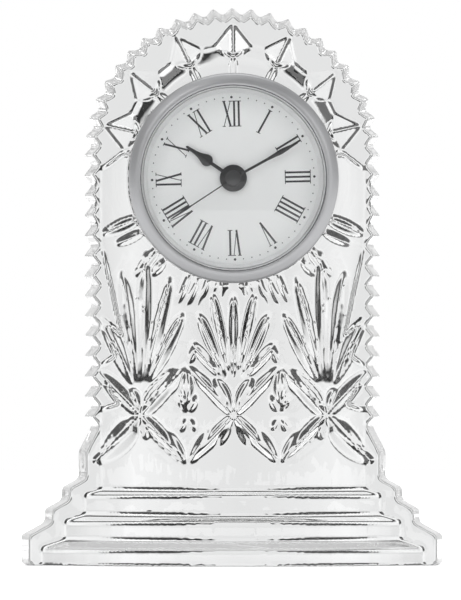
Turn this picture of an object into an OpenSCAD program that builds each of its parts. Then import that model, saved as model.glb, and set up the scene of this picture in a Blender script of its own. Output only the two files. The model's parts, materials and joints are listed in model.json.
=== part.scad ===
// Cut crystal desk clock with a round fit-up quartz insert.
// Millimetres. X is to the viewer's right, Y runs to the back, Z is up.
// The origin is on the table, under the middle of the clock.

/* [Crystal block] */
// Depth of the clock at the foot, back face to the crest of the bow
block_depth = 38; // [36:0.5:42]
// Thickness of the flat plate behind the cut front
plate_t = 18; // [16:0.5:20]
// Half width of the foot
foot_half_w = 67.4; // [66:0.2:70]
// Height of the arch centre above the table
arch_z = 130.6; // [129:0.2:132]
// Radius over the tips of the zigzag rim
rim_tip_r = 47.4; // [47:0.2:49]
// Depth of the zigzag notches
rim_notch = 2.4; // [1.6:0.1:3]
// Notches in each quarter of the arch
arch_notches = 12; // [10:1:14]
// Notches down each straight side
side_notches = 13; // [11:1:14]
// Height of the lowest rim tip
rim_start_z = 47.4; // [46:0.2:49]
// How far the front edge of the plate lies inside the back edge
rim_draft = 2.6; // [1:0.1:3.4]

/* [Stepped foot] */
// Radius of the lowest bowed riser
bow_r = 102.4; // [98:0.2:108]
// Height of the lowest bowed riser
riser_1_h = 5.4; // [4:0.1:6]
// Height where the second riser ends
riser_2_z = 14; // [13:0.1:15]
// Height where the third riser ends
riser_3_z = 22.4; // [21:0.1:23]
// Going of the lowest tread
tread_1 = 4.2; // [3:0.1:5]
// Going of the second tread
tread_2 = 3.2; // [2:0.1:4]
// Going of the third tread
tread_3 = 2.4; // [1.5:0.1:3]
// Slope of the treads
tread_slope = 31; // [24:1:36]

/* [Cut pattern] */
// Height of the row of mitre crossings
cross_z = 47.8; // [46.5:0.1:49]
// Distance between two mitre crossings
cross_pitch = 14.75; // [14:0.05:15.2]
// Half height of the mitre diamonds
cross_rise = 15.8; // [15:0.1:16.5]
// Depth of the long mitre cuts
mitre_depth = 1.7; // [1:0.1:2.2]
// Half width of the long mitre cuts
mitre_half_w = 1.9; // [1.2:0.1:2.4]
// Height of the root of the fans
fan_z = 57.4; // [56:0.1:58]
// Depth of the fan leaves
leaf_depth = 2.1; // [1.2:0.1:2.6]
// Half width of the fan leaves
leaf_half_w = 1.75; // [1.2:0.05:2]
// Diamonds round the arch
arch_diamonds = 7; // [7:1:7]
// Radius to the outer points of the diamonds
diamond_outer_r = 43.8; // [42.5:0.1:44]
// Radius to the side points of the diamonds
diamond_side_r = 35.2; // [34.5:0.1:36]
// Radius to the inner points of the diamonds
diamond_inner_r = 29.8; // [29:0.1:31]
// Radius to the peaks of the diamonds
diamond_peak_r = 31.6; // [31:0.1:33]
// Height of a diamond over the plate
diamond_h = 3.8; // [3:0.1:5]
// Radius of the rounding of the collar between the diamonds and the bezel
collar_round_r = 14.2; // [13:0.1:16]
// Radius to the crown of the collar
collar_crown_r = 27; // [26.5:0.1:28]

/* [Insert] */
// Height of the dial centre
dial_z = 123; // [122.5:0.1:123.5]
// Height of the ground seat over the plate
seat_h = 10.2; // [9.8:0.1:11]
// Outer diameter of the bezel
bezel_d = 66.6; // [65.6:0.1:67]
// How far the bezel reaches past the bore through the crystal
bezel_land = 3.3; // [3:0.1:3.6]
// Width of the bezel's face round its opening
bezel_face = 3.9; // [3.7:0.1:4.1]
// Height of the bezel over its seat
bezel_h = 4.6; // [4.4:0.1:5]
// Thickness of the lens at its edge
lens_t = 1.5; // [1.2:0.1:1.8]
// Radius of the domed face of the lens
lens_dome_r = 420; // [300:10:600]
// Thickness of the gasket over the lens
gasket_t = 0.3; // [0.2:0.05:0.4]
// Depth of the dial face behind the seat
dial_depth = 5.4; // [5.2:0.1:6]
// Thickness of the dial
dial_t = 0.4; // [0.3:0.05:0.6]
// Thickness of the cup wall in front of the movement
cup_wall = 0.6; // [0.5:0.05:0.7]
// Gap from the cup to the bore, filled by the grip ring
cup_gap = 0.8; // [0.6:0.05:0.9]
// Radial running clearance of the grip ring in the bore
grip_clear = 0.06; // [0.03:0.01:0.1]

/* [Hands] */
// Radius of the round boss of the hour hand
hand_boss_r = 4.3; // [3.6:0.1:4.6]
// Length of the hour hand as a share of the opening's radius
hour_share = 0.615; // [0.58:0.005:0.65]
// Length of the minute hand as a share of the opening's radius
minute_share = 0.8; // [0.75:0.005:0.83]
// Length of the second hand as a share of the opening's radius
second_share = 0.813; // [0.75:0.001:0.83]
// Clockwise angle of the hour hand from twelve
hour_angle = 304.1; // [0:0.1:360]
// Clockwise angle of the minute hand from twelve
minute_angle = 61; // [0:0.1:360]
// Clockwise angle of the second hand from twelve
second_angle = 236.7; // [0:0.1:360]
// Thickness of a hand
hand_t = 0.4; // [0.3:0.05:0.5]

/* [Movement] */
// Width of the ledge in the cup that carries the movement
cup_ledge = 2.5; // [2.4:0.05:2.6]
// Depth of the movement behind the seat
movement_depth = 16; // [15.8:0.1:16.5]
// Tooth module of the going train in the movement as it is drawn
drawn_module = 0.2; // [0.19:0.005:0.205]
// Distance from the centre to the motion wheel in the movement as it is drawn
drawn_motion = 7.6; // [7.5:0.05:7.8]
// Radius of the setting knob
knob_r = 3.6; // [3:0.1:4.2]
// Height of the setting knob
knob_h = 3.2; // [2.5:0.1:4]
// Diameter of the button cell
cell_d = 11.6; // [11.4:0.1:11.8]
// Thickness of the button cell
cell_t = 5.4; // [5.2:0.1:5.5]
// Running clearance of pivots and tubes
pivot_clear = 0.06; // [0.04:0.01:0.09]

/* [Hidden] */
$fn = 64;

// Crystal block, derived
back_y = block_depth / 2;
bow_top_h = block_depth - plate_t;
bow_axis_h = bow_r - bow_top_h;
riser_2_r = bow_r - tread_1;
riser_3_r = riser_2_r - tread_2;
body_r = riser_3_r - tread_3;
tread_rise = tan(tread_slope);
seat_y = back_y - plate_t - seat_h;
foot_risers = [9.7, 17.9, 24.8, 36.3];
foot_goings = [7.4, 5.5, 5.4];
foot_falls = [4, 3, 2.9];
rim_valley_flat = 0.5;
corner_round = 1.5;
cut_over = 3;
leaf_entry = 0.08;
leaf_stations = 7;
leaf_taper = 1.4;
sector = 180 / arch_diamonds;

// Insert, derived; depths are measured behind the seat, heights over it are negative
bezel_r = bezel_d / 2;
bore_r = bezel_r - bezel_land;
cup_r = bore_r - cup_gap;
cup_inner_r = cup_r - cup_wall;
opening_r = bezel_r - bezel_face;
hour_len = hour_share * opening_r;
minute_len = minute_share * opening_r;
second_len = second_share * opening_r;
flange_t = 0.9;
flange_r = bezel_r - 2.5;
ring_lip_t = 0.8;
lens_back = -flange_t - ring_lip_t;
lens_front = lens_back - lens_t;
lens_r = flange_r - 0.5;
gasket_front = lens_front - gasket_t;
dial_back = dial_depth + dial_t;
dial_hole_r = 3.1;
ledge_depth = dial_back + 1;
plate_r = cup_inner_r - 0.15;
cup_back_t = 1;
movement_r = cup_inner_r - cup_ledge;
window_r = movement_r - 3.1;

// Movement, derived; every depth is measured behind the seat.
// It is drawn for a radius of 26.1 and keeps that layout at other radii.
layout = movement_r / 26.1;
train_module = layout * drawn_module;
motion_distance = layout * drawn_motion;
hour_tube_r = 1.8;
minute_tube_r = 1.1;
second_arbor_r = 0.45;
hour_hand_d = dial_depth - 1.9;
minute_hand_d = hour_hand_d - 1.2;
second_hand_d = minute_hand_d - 1.2;
motion_level = ledge_depth + 0.2;
minute_level = motion_level + 0.9;
centre_level = minute_level + 0.95;
third_level = centre_level + 1;
second_level = third_level + 1.4;
inter_level = second_level + 1;
bridge_level = inter_level + 1;
bridge_t = 0.8;
wheel_t = 0.4;
cover_floor_t = 1;
cover_wall = 1;
floor_level = movement_depth - cover_floor_t;

rotor_teeth = 8;
inter_teeth = 48;
inter_pinion = 12;
second_teeth = 60;
second_pinion = 8;
third_teeth = 60;
third_pinion = 8;
centre_teeth = 64;
cannon_teeth = 12;
motion_teeth = 36;
motion_pinion = 10;
hour_teeth = 40;

inter_distance = (inter_pinion + second_teeth) * train_module / 2;
rotor_distance = (rotor_teeth + inter_teeth) * train_module / 2;
third_distance = (second_pinion + third_teeth) * train_module / 2;
centre_module = 2 * third_distance / (third_pinion + centre_teeth);
minute_module = 2 * motion_distance / (cannon_teeth + motion_teeth);
hour_module = 2 * motion_distance / (motion_pinion + hour_teeth);

third_dir = 90;
inter_dir = 0;
rotor_dir = 0;
motion_dir = -60;

function polar(r, a) = [r * cos(a), r * sin(a)];
third_at = polar(third_distance, third_dir);
inter_at = polar(inter_distance, inter_dir);
rotor_at = inter_at + polar(rotor_distance, rotor_dir);
motion_at = polar(motion_distance, motion_dir);
cell_at = layout * [-15, 0];
rotor_r = 1.7;
coil_x = layout * 19.6;
flange_coil_r = 2.35;
coil_half_l = layout * 7;
core_half_l = layout * 11;
cell_front = motion_level + 2.2;
cell_back = cell_front + cell_t;
stator_level = centre_level + 0.15;
stator_t = 0.6;
core_level = stator_level + stator_t;
core_t = 0.6;
board_level = cell_front - 0.9;
board_t = 0.5;
hatch_r = cell_d / 2 + 1;
lug_w = 3;
lug_reach = 0.7;
lug_turn = 60;
bridge_posts = layout * [[-7.5, 10.5], [-5.5, -9.5], [11.5, 8.5], [11.5, -9]];
cover_posts = [for (a = [55, 135, 300]) polar(movement_r - 4.6, a)];
post_r = 1.5;
board_min = layout * [-16, -18.4];
board_max = layout * [5, -13];
small_post_r = 1.2;
board_posts = [
    board_min + [1.5, 1.5],
    [board_max[0] - 1.5, board_min[1] + 1.5],
    [(board_min[0] + board_max[0]) / 2, board_max[1] - 1.5]
];
pivot_r = 0.35;
rotor_pivot_r = 0.3;
motion_arbor_r = 0.6;
screw_hole_r = 0.7;
screw_core_r = 0.6;
strip_t = 0.4;
strip_w = 2;
strip_lap = 2;

// Places children drawn face-on (X right, Y up, Z to the viewer) with Z = 0 at the back face
module face_on() {
    translate([0, back_y, 0]) rotate([90, 0, 0]) children();
}

// Places children drawn face-on with the dial centre at the origin and Z = 0 at the seat
module on_seat() {
    translate([0, seat_y, dial_z]) rotate([90, 0, 0]) children();
}

// Places children at a depth behind the seat, growing towards the viewer from that depth
module at_depth(depth, at = [0, 0]) {
    on_seat() translate([at[0], at[1], -depth]) children();
}

module disc(r, front, back, at = [0, 0]) {
    at_depth(back, at) cylinder(r = r, h = back - front);
}

module plate_2d(front, back) {
    at_depth(back) linear_extrude(back - front) children();
}

// Plate outline, derived from the rim and the steps of the foot

function arc_points(centre, r, from, to, steps) =
    [for (i = [0:steps]) centre + polar(r, from + (to - from) * i / steps)];

// Rounds the corner b between a and c, with the arc's points in walking order
function rounded_corner(a, b, c, r, steps = 3) =
    let (
        u = (a - b) / norm(a - b),
        v = (c - b) / norm(c - b),
        half = acos(u * v) / 2,
        middle = b + (u + v) / norm(u + v) * r / sin(half),
        p = b + u * r / tan(half),
        q = b + v * r / tan(half),
        start = atan2(p[1] - middle[1], p[0] - middle[0]),
        turn = atan2(q[1] - middle[1], q[0] - middle[0]) - start,
        sweep = turn > 180 ? turn - 360 : turn < -180 ? turn + 360 : turn
    )
    arc_points(middle, r, start, start + sweep, steps);

function rounded_path(path, r) = [
    for (i = [1:len(path) - 2])
        each rounded_corner(path[i - 1], path[i], path[i + 1], r)
];

// Right-hand steps of the foot seen from the front, inset by e, from the table up
function foot_path(e) =
    let (
        r = foot_risers,
        w1 = foot_half_w - e,
        w2 = w1 - foot_goings[0],
        w3 = w2 - foot_goings[1],
        w4 = w3 - foot_goings[2],
        top_w = rim_tip_r - rim_notch - e
    )
    [
        [0, 0], [w1, 0], [w1, r[0]], [w2, r[0] + foot_falls[0]],
        [w2, r[1]], [w3, r[1] + foot_falls[1]],
        [w3, r[2]], [w4, r[2] + foot_falls[2]],
        [w4, r[3]], [top_w, rim_start_z - side_pitch() / 2], [top_w, rim_start_z]
    ];

function side_pitch() = (arch_z - rim_start_z) / side_notches;

// Tips and flat-bottomed valleys up the straight side
function side_zigzag(e) = [
    for (i = [0:side_notches - 1])
        let (z = rim_start_z + i * side_pitch(), tip = rim_tip_r - e, mid = z + side_pitch() / 2)
            each [
                [tip, z],
                [tip - rim_notch, mid - rim_valley_flat / 2],
                [tip - rim_notch, mid + rim_valley_flat / 2]
            ]
];

// Tips and valleys of the right half of the arch, ending at the top tip
function arch_zigzag(e) =
    let (
        pitch = 90 / arch_notches,
        tip = rim_tip_r - e,
        valley = tip - rim_notch,
        flat = rim_valley_flat / 2 / valley * 180 / PI
    )
    [
        for (i = [0:arch_notches - 1])
            each [
                [0, arch_z] + polar(tip, i * pitch),
                [0, arch_z] + polar(valley, (i + 0.5) * pitch - flat),
                [0, arch_z] + polar(valley, (i + 0.5) * pitch + flat)
            ],
        [0, arch_z + tip]
    ];

function side_path(e) = concat(rounded_path(foot_path(e), corner_round), side_zigzag(e));
function mirrored(path) = [for (i = [len(path) - 1:-1:0]) [-path[i][0], path[i][1]]];

// Draws the plate as a skin between the wide back outline and the drafted front outline
module rim_plate() {
    side_back = side_path(0);
    side_front = side_path(rim_draft);
    arch_back = arch_zigzag(0);
    arch_front = arch_zigzag(rim_draft);
    n = len(side_back) + len(arch_back);
    half_back = concat(side_back, arch_back);
    half_front = concat(side_front, arch_front);
    loop_back = concat(half_back, [for (p = mirrored(half_back)) if (p[0] < 0) p]);
    loop_front = concat(half_front, [for (p = mirrored(half_front)) if (p[0] < 0) p]);
    m = len(loop_back);
    ns = len(side_back);
    hub_z = arch_z + rim_tip_r / 4;
    points = concat(
        [for (p = loop_back) [p[0], p[1], 0]],
        [for (p = loop_front) [p[0], p[1], plate_t]],
        [[0, hub_z, 0], [0, hub_z, plate_t]]
    );
    back_cap = concat(
        [for (i = [0:ns - 1]) each [[i, i + 1, m - 1 - i], [i + 1, m - 2 - i, m - 1 - i]]],
        [for (i = [ns:m - 2 - ns]) [i, i + 1, 2 * m]],
        [[m - 1 - ns, ns, 2 * m]]
    );
    front_cap = [for (f = back_cap) [
        for (k = [2, 1, 0]) f[k] == 2 * m ? 2 * m + 1 : f[k] + m
    ]];
    walls = [
        for (i = [0:m - 1])
            let (j = (i + 1) % m)
                each [[i, i + m, j], [j, i + m, j + m]]
    ];
    polyhedron(points = points, faces = concat(back_cap, front_cap, walls));
}

// The bowed steps and the bowed body, turned about one upright axis behind the plate
module bowed_front() {
    profile = [
        [bow_axis_h - 2, 0],
        [bow_r, 0],
        [bow_r, riser_1_h],
        [riser_2_r, riser_1_h + tread_1 * tread_rise],
        [riser_2_r, riser_2_z],
        [riser_3_r, riser_2_z + tread_2 * tread_rise],
        [riser_3_r, riser_3_z],
        [body_r, riser_3_z + tread_3 * tread_rise],
        [body_r, arch_z + 1],
        [bow_axis_h - 2, arch_z + 1]
    ];
    translate([0, 0, plate_t - bow_axis_h]) rotate([-90, 0, 0]) rotate([0, 0, -135])
        rotate_extrude(angle = 90, $fn = 96) polygon(profile);
}

// Half outline of the raised relief seen from the front, with fern-like points at the sides
module relief_outline() {
    half = [
        [foot_half_w + 4, -1],
        [foot_half_w + 4, riser_3_z + 6],
        [46, riser_3_z + 6],
        [44.2, 32.9],
        [42.4, 49.2],
        [35.8, 51.3],
        [43.8, 62.1],
        [37.2, 66.5],
        [43.8, 81.2],
        [34.9, 72.4],
        [41.8, 104],
        [46, 112],
        [46, 122.5],
        [diamond_side_r, arch_z],
        [bore_r - 4, arch_z]
    ];
    polygon(concat(half, mirrored(half)));
}

// Height over the back face of the bowed body at x
function bow_h(x) = plate_t - bow_axis_h + sqrt(body_r * body_r - x * x);

// Lens shape of a wheel cut along its length, widest at t = peak
function lens_shape(t, peak) =
    let (s = max(0.0001, t), e = max(0.0001, 1 - t))
    pow(s / peak, peak * leaf_taper) * pow(e / (1 - peak), (1 - peak) * leaf_taper);

// V-shaped wheel cut from p to q in the bowed face, pointed at both ends
module leaf(p, q, depth, half_w, peak = 0.5, lift = 0) {
    run = q - p;
    side = [-run[1], run[0]] / norm(run);
    stations = [
        for (i = [0:leaf_stations])
            let (t = i / leaf_stations, at = p + run * t)
                [at[0], at[1], bow_h(at[0]) + lift, (1 + leaf_entry) * lens_shape(t, peak) - leaf_entry]
    ];
    points = [
        for (s = stations)
            let (w = half_w * (s[3] + cut_over / depth))
                each [
                    [s[0], s[1], s[2] - depth * s[3]],
                    [s[0] + side[0] * w, s[1] + side[1] * w, s[2] + cut_over],
                    [s[0] - side[0] * w, s[1] - side[1] * w, s[2] + cut_over]
                ]
    ];
    last = 3 * leaf_stations;
    skin = [
        for (i = [0:leaf_stations - 1], k = [0:2])
            let (a = 3 * i + k, b = 3 * i + (k + 1) % 3)
                each [[a, a + 3, b], [b, a + 3, b + 3]]
    ];
    polyhedron(points = points, faces = concat(skin, [[0, 1, 2], [last, last + 2, last + 1]]));
}

module both_sides() {
    children();
    mirror([1, 0, 0]) children();
}

module mitre(p, q, peak = 0.5) {
    leaf(p, q, mitre_depth, mitre_half_w, peak);
}

module blade(p, q) {
    leaf(p, q, leaf_depth, leaf_half_w, 0.6);
}

// Long mitre cuts that cross at every second point of the row
module mitre_lattice() {
    x1 = cross_pitch;
    x2 = 2 * cross_pitch;
    up = cross_z + cross_rise;
    down = cross_z - cross_rise;
    both_sides() {
        mitre([-1.2, cross_z - 1.3], [x1 + 1, up + 1], 0.4);
        mitre([-1.2, cross_z + 1.3], [x1 + 0.6, down - 0.4], 0.4);
        mitre([x2 + 1.2, cross_z - 1.3], [x1 - 1, up + 1], 0.4);
        mitre([x2 + 1.2, cross_z + 1.3], [x1 - 0.6, down - 0.4], 0.4);
        mitre([x2 - 1.2, cross_z - 1.3], [43.6, 62.1], 0.5);
        mitre([x2 - 1.2, cross_z + 1.3], [44.2, 32.9], 0.5);
    }
}

// Small leaves round each crossing and the wide scoops beside the outer mitres
module crossing_leaves() {
    x1 = cross_pitch;
    x2 = 2 * cross_pitch;
    both_sides() {
        leaf([0.6, cross_z + 2], [5.4, cross_z + 9.6], 1.6, 1.9, 0.6);
        leaf([0.8, cross_z - 2], [5.2, cross_z - 9.2], 1.2, 1.3, 0.6);
        leaf([x1 + 0.4, cross_z + 0.8], [x1 + 3, cross_z + 5.6], 1.1, 1.0, 0.6);
        leaf([x1 - 0.4, cross_z + 0.8], [x1 - 3, cross_z + 5.6], 1.1, 1.0, 0.6);
        leaf([x1 + 0.4, cross_z - 0.8], [x1 + 2.4, cross_z - 5], 0.9, 0.9, 0.6);
        leaf([x1 - 0.4, cross_z - 0.8], [x1 - 2.4, cross_z - 5], 0.9, 0.9, 0.6);
        leaf([x1, cross_z + 3.4], [x1, cross_z + 14.6], 1.7, 1.9, 0.4);
        leaf([x1 - 1, cross_z + 14.4], [x1 - 8.2, cross_z + 5.2], 1.1, 1.1, 0.5);
        leaf([x1 + 1.2, cross_z + 14.4], [x1 + 6.2, cross_z + 6.4], 1.0, 1.0, 0.5);
        leaf([x1 + 0.3, cross_z - 14.9], [x1 + 5.8, cross_z - 6.8], 1.4, 1.4, 0.5);
        leaf([x1 - 0.3, cross_z - 14.9], [x1 - 7.6, cross_z - 4.6], 1.4, 1.5, 0.5);
        leaf([x2 + 0.2, cross_z + 1.6], [x2 + 2.8, cross_z + 8.4], 1.3, 1.2, 0.6);
        leaf([x2 - 0.6, cross_z + 2.6], [x1 + 3.2, cross_z + 15.4], 1.8, 2.5, 0.38);
        leaf([x2 + 0.8, cross_z - 2.6], [x2 + 13.6, cross_z - 15.4], 1.7, 2.3, 0.38);
        leaf([x2 + 4.2, cross_z - 1.4], [x2 + 12, cross_z - 10.4], 0.9, 1.0, 0.5);
        leaf([x2 - 0.4, cross_z - 1.8], [x2 - 2.2, cross_z - 7.6], 1.0, 0.9, 0.6);
    }
}

// Fans of leaves that spring from a point over each large crossing
module fans() {
    side_x = 2 * cross_pitch;
    blade([0, fan_z], [0, 86.6]);
    both_sides() {
        blade([0.9, fan_z + 0.6], [7.2, 88]);
        blade([1.6, fan_z + 0.2], [11.6, 80.8]);
        leaf([1.8, fan_z], [13.8, 70.8], 1.7, 1.6, 0.66);
        blade([side_x, fan_z], [27.7, 100.4]);
        blade([side_x - 0.9, fan_z + 0.4], [19.6, 92.6]);
        blade([side_x - 1.7, fan_z], [15.4, 81]);
        blade([side_x + 1, fan_z + 0.4], [35.4, 94]);
        blade([side_x + 2, fan_z - 0.2], [41.4, 79]);
    }
}

// Cuts that run out from under the bezel, placed by their angle from straight down
module bezel_cut(start, end, reach, depth, half_w) {
    from = [0, dial_z] + polar(bezel_r - 1.6, start - 90);
    to = [0, dial_z] + polar(bezel_r + reach, end - 90);
    leaf(from, to, depth, half_w, 0.45);
}

module bezel_cuts() {
    both_sides() {
        bezel_cut(67, 67, 12.6, 1.9, 1.7);
        bezel_cut(47, 45, 11.4, 1.3, 1.3);
        bezel_cut(24.6, 24, 11, 1.3, 1);
        bezel_cut(19.6, 19.4, 10, 1.1, 0.8);
        bezel_cut(14.2, 14.6, 6.4, 1.1, 0.9);
        bezel_cut(6.2, 6, 5.4, 1.1, 0.9);
    }
}

// One pointed diamond of the arch, a low pyramid on a kite with its peak near the dial
module arch_diamond(angle) {
    base = plate_t - 0.6;
    half = sector / 2 - 0.8;
    p = [
        polar(diamond_outer_r, 90 - angle),
        polar(diamond_side_r, 90 - angle - half),
        polar(diamond_inner_r, 90 - angle),
        polar(diamond_side_r, 90 - angle + half),
        polar(diamond_peak_r, 90 - angle)
    ];
    translate([0, arch_z, 0])
        polyhedron(
            points = [for (i = [0:4]) [p[i][0], p[i][1], i == 4 ? plate_t + diamond_h : base]],
            faces = [[0, 2, 1], [0, 3, 2], [0, 1, 4], [1, 2, 4], [2, 3, 4], [3, 0, 4]]
        );
}

// Rounded collar that the diamonds stand in, parted into lobes by a valley towards each diamond
module arch_collar() {
    fall = diamond_side_r - collar_crown_r;
    drop = collar_round_r - sqrt(collar_round_r * collar_round_r - fall * fall);
    edge_angle = asin(fall / collar_round_r);
    crown = plate_t + drop;
    valley_half_w = 1.5;
    valley_depth = 1.3;
    over = 0.4;
    section = concat(
        [[bore_r - 7, plate_t - 1], [diamond_side_r, plate_t - 1]],
        arc_points([collar_crown_r, crown - collar_round_r], collar_round_r, 90 - edge_angle, 90, 6),
        [[bore_r - 7, crown]]
    );
    translate([0, arch_z, 0])
        difference() {
            rotate_extrude($fn = 96) polygon(section);
            for (k = [0:arch_diamonds - 1])
                rotate([0, 0, 90 - (k - (arch_diamonds - 1) / 2) * sector])
                    translate([bore_r - 8, 0, crown + over])
                        rotate([90, 0, 90]) linear_extrude(diamond_peak_r - bore_r + 8)
                            polygon([[-valley_half_w, 0], [0, -valley_depth - over], [valley_half_w, 0]]);
        }
}

module relief() {
    intersection() {
        bowed_front();
        translate([0, 0, plate_t - 1]) linear_extrude(bow_top_h + 2) relief_outline();
    }
}

module crystal_block() {
    color("aliceblue", 0.5)
        difference() {
            face_on() difference() {
                union() {
                    difference() {
                        union() {
                            rim_plate();
                            relief();
                        }
                        mitre_lattice();
                        crossing_leaves();
                        fans();
                        bezel_cuts();
                    }
                    for (k = [0:arch_diamonds - 1]) arch_diamond((k - (arch_diamonds - 1) / 2) * sector);
                    arch_collar();
                    translate([0, dial_z, plate_t - 1]) cylinder(r = bezel_r - 1.2, h = seat_h + 1);
                }
                translate([0, dial_z, plate_t + seat_h]) cylinder(r = bezel_r + 1, h = 10);
            }
            translate([0, back_y + 1, dial_z]) rotate([90, 0, 0])
                cylinder(r = bore_r, h = block_depth + 2);
        }
}

// Bezel ring with a rounded front, a lip over the gasket and a wall round the flange
module bezel() {
    top = bezel_h;
    section = concat(
        [[flange_r + 0.05, 0], [bezel_r, 0], [bezel_r, 0.9]],
        arc_points([bezel_r - 1.9, 1], 1.9, 15, 75, 4),
        [[bezel_r - 2.6, top - 0.45], [opening_r + 1.2, top]],
        arc_points([opening_r + 0.6, top - 0.6], 0.6, 90, 180, 3),
        [[opening_r, -gasket_front], [flange_r + 0.05, -gasket_front]]
    );
    color("silver") on_seat() rotate_extrude($fn = 128) polygon(section);
}

module lens_gasket() {
    color("dimgray")
        difference() {
            disc(lens_r, gasket_front, lens_front);
            disc(opening_r - 0.15, gasket_front - 1, lens_front + 1);
        }
}

// Lens with a flat seat at its edge and a shallow dome inside the gasket
module lens() {
    dome_edge_r = opening_r - 0.3;
    steps = 8;
    edge_angle = asin(dome_edge_r / lens_dome_r);
    low = -lens_front - lens_dome_r * cos(edge_angle);
    section = concat(
        [[0, -lens_back], [lens_r, -lens_back], [lens_r, -lens_front]],
        [for (i = [0:steps])
            let (a = edge_angle * (1 - i / steps))
                [lens_dome_r * sin(a), low + lens_dome_r * cos(a)]]
    );
    color("white", 0.3) on_seat() rotate_extrude($fn = 128) polygon(section);
}

// Pale sloping ring between the dial and the lens
module reflector_ring() {
    inner_r = opening_r - 2.3;
    outer_r = cup_inner_r - 0.1;
    section = [
        [inner_r, -dial_depth],
        [outer_r, -dial_depth],
        [outer_r, flange_t],
        [lens_r, flange_t],
        [lens_r, flange_t + ring_lip_t],
        [opening_r - 0.1, flange_t + ring_lip_t],
        [outer_r - 0.5, 0],
        [inner_r, -dial_depth + 0.3]
    ];
    color("whitesmoke") on_seat() rotate_extrude($fn = 128) polygon(section);
}

module dial() {
    color("gainsboro")
        difference() {
            disc(plate_r, dial_depth, dial_back);
            disc(dial_hole_r, dial_depth - 1, dial_back + 1);
        }
}

// Round cup that holds the movement, with a flange on the seat and a window at the back
module case_cup() {
    back = movement_depth + cup_back_t;
    ledge_r = movement_r + 0.1;
    section = [
        [cup_inner_r, flange_t],
        [flange_r, flange_t],
        [flange_r, 0],
        [cup_r, 0],
        [cup_r, -back],
        [window_r, -back],
        [window_r, -movement_depth],
        [ledge_r, -movement_depth],
        [ledge_r, -ledge_depth],
        [cup_inner_r, -ledge_depth]
    ];
    color("white") on_seat() rotate_extrude($fn = 128) polygon(section);
}

// Soft ring with rounded beads that grips the bore
module grip_ring() {
    beads = 4;
    first = 3;
    pitch = (movement_depth - 2 * first) * 0.24;
    crest = bore_r - grip_clear;
    web = cup_r + (crest - cup_r) * 0.45;
    outer = concat(
        [[cup_r, -first - beads * pitch], [web, -first - beads * pitch]],
        [
            for (i = [beads - 1:-1:0])
                let (mid = -first - (i + 0.5) * pitch)
                    each [[web, mid - 0.8], [crest, mid - 0.35], [crest, mid + 0.35], [web, mid + 0.8]]
        ],
        [[web, -first], [cup_r, -first]]
    );
    color("gray") on_seat() rotate_extrude($fn = 128) polygon(outer);
}

// Turns children drawn with the tip up to a clockwise angle seen from the front
module pointing(angle) {
    rotate([0, 0, -angle]) children();
}

// Smooth spade outline, given as half widths along the hand
module hand_blade(stops) {
    left = [for (s = stops) [-s[1], s[0]]];
    right = [for (i = [len(stops) - 1:-1:0]) [stops[i][1], stops[i][0]]];
    polygon(concat(left, right));
}

module hand(angle, depth, boss_r, hole_r) {
    color("black")
        difference() {
            union() {
                for (i = [0:$children - 1]) plate_2d(depth, depth + hand_t) pointing(angle) children(i);
                disc(boss_r, depth, depth + hand_t);
            }
            disc(hole_r, depth - 1, depth + hand_t + 1);
        }
}

module hour_hand() {
    ball_at = 0.56 * hour_len;
    hand(hour_angle, hour_hand_d, hand_boss_r, hour_tube_r) {
        hand_blade([[hand_boss_r - 1, 0.55], [ball_at, 0.55]]);
        translate([0, ball_at]) circle(r = 1.9);
        hand_blade([
            [ball_at, 1.9], [ball_at + 1, 1.66], [ball_at + 2, 1.24], [ball_at + 3, 0.9],
            [ball_at + 4.2, 0.66], [hour_len - 0.5, 0.42], [hour_len, 0.2]
        ]);
    }
}

module minute_hand() {
    widest = 0.735 * minute_len;
    hand(minute_angle, minute_hand_d, hand_boss_r - 1.3, minute_tube_r)
        hand_blade([
            [hand_boss_r - 2, 0.4], [widest - 5, 0.42], [widest - 2, 0.62], [widest, 0.82],
            [widest + 2, 0.66], [widest + 4, 0.42], [minute_len - 0.4, 0.28], [minute_len, 0.12]
        ]);
}

module second_hand() {
    swell = 0.74 * second_len;
    hand(second_angle, second_hand_d, 2.6, second_arbor_r)
        hand_blade([
            [1.5, 0.17], [swell - 2, 0.2], [swell, 0.36], [second_len - 1, 0.24], [second_len, 0.1]
        ]);
}

// Gear outline with stub teeth; phase is the angle of one tooth
module gear_2d(teeth, tooth_module, phase) {
    r = teeth * tooth_module / 2;
    tip_r = r + 0.5 * tooth_module;
    root_r = r - 0.8 * tooth_module;
    tip_half = 0.28 * tooth_module / tip_r * 180 / PI;
    root_half = 0.72 * tooth_module / root_r * 180 / PI;
    polygon([
        for (i = [0:teeth - 1])
            let (a = phase + i * 360 / teeth)
                each [
                    polar(root_r, a - root_half), polar(tip_r, a - tip_half),
                    polar(tip_r, a + tip_half), polar(root_r, a + root_half)
                ]
    ]);
}

module gear(teeth, tooth_module, phase, front, back, at = [0, 0]) {
    at_depth(back, at) linear_extrude(back - front) gear_2d(teeth, tooth_module, phase);
}

// Phase of a driven wheel that meshes with a driver whose tooth is at driver_phase
function mesh_phase(driver_phase, driver_teeth, driven_teeth, dir) =
    dir + 180 + 180 / driven_teeth - (driver_phase - dir) * driver_teeth / driven_teeth;

second_phase = 0;
inter_phase = mesh_phase(second_phase, second_teeth, inter_pinion, inter_dir);
rotor_phase = mesh_phase(inter_phase, inter_teeth, rotor_teeth, rotor_dir);
third_phase = mesh_phase(second_phase, second_pinion, third_teeth, third_dir);
centre_phase = mesh_phase(third_phase, third_pinion, centre_teeth, third_dir + 180);
cannon_phase = 0;
motion_phase = mesh_phase(cannon_phase, cannon_teeth, motion_teeth, motion_dir);
hour_phase = mesh_phase(motion_phase, motion_pinion, hour_teeth, motion_dir + 180);

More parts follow.
